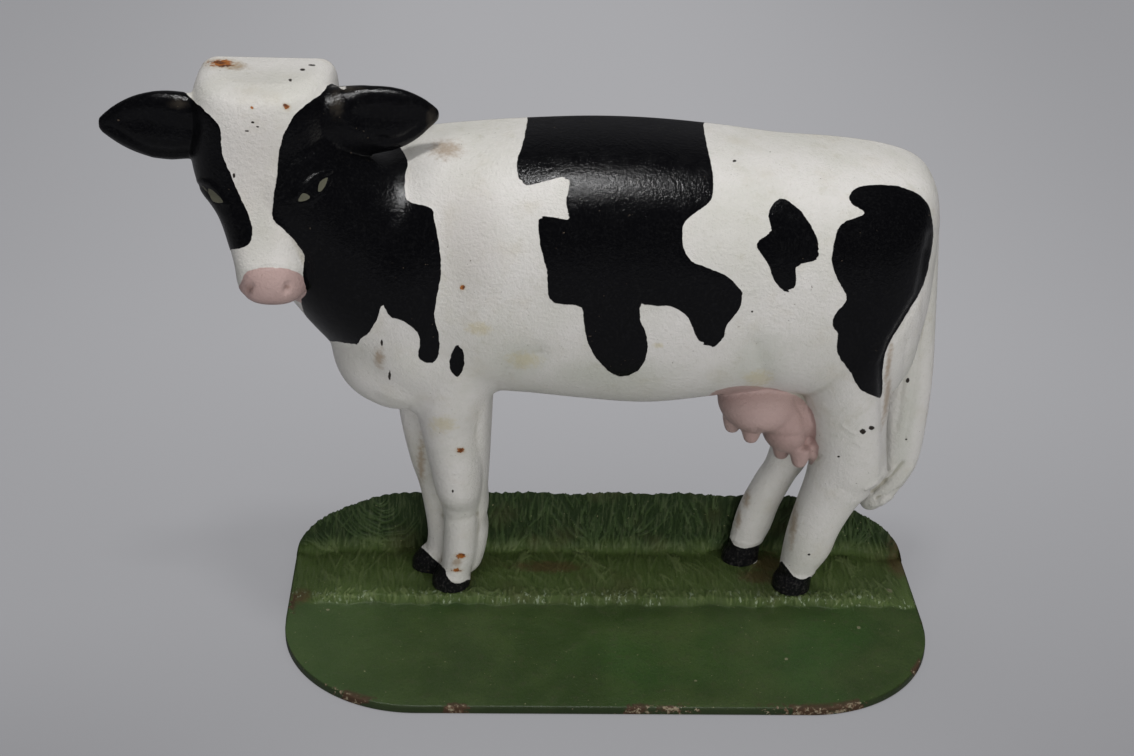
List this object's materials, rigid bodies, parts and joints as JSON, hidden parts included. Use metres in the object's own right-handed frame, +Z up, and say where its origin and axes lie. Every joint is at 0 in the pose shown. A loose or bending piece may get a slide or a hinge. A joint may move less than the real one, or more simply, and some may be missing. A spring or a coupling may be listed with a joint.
{
  "type": "doorstop",
  "caption": "Flat-backed cast iron dairy cow standing on a green base with a low bank of grass behind it; its weight holds a door open.",
  "frame": {"origin": "middle of the base's flat underside, where the doorstop stands on the floor", "axes": "+X from the cow's head towards its tail, along the straight grass bank; +Y from the front edge towards the flat back; +Z up"},
  "size_m": [0.2769, 0.0926, 0.1908],
  "materials": {
    "grass_green_paint": "semi-gloss green enamel over cast iron, worn and chipped at the rim",
    "cow_paint": "semi-gloss warm white enamel with black patches and hooves and a pink nose and udder, over cast iron",
    "screw_steel": "dull plain steel"
  },
  "bodies": {
    "root": {"base_casting": "grass_green_paint", "cow_casting": "cow_paint", "hoof_screw_near_front": "screw_steel", "hoof_screw_far_front": "screw_steel", "hoof_screw_near_hind": "screw_steel", "hoof_screw_far_hind": "screw_steel"}
  },
  "joints": []
}
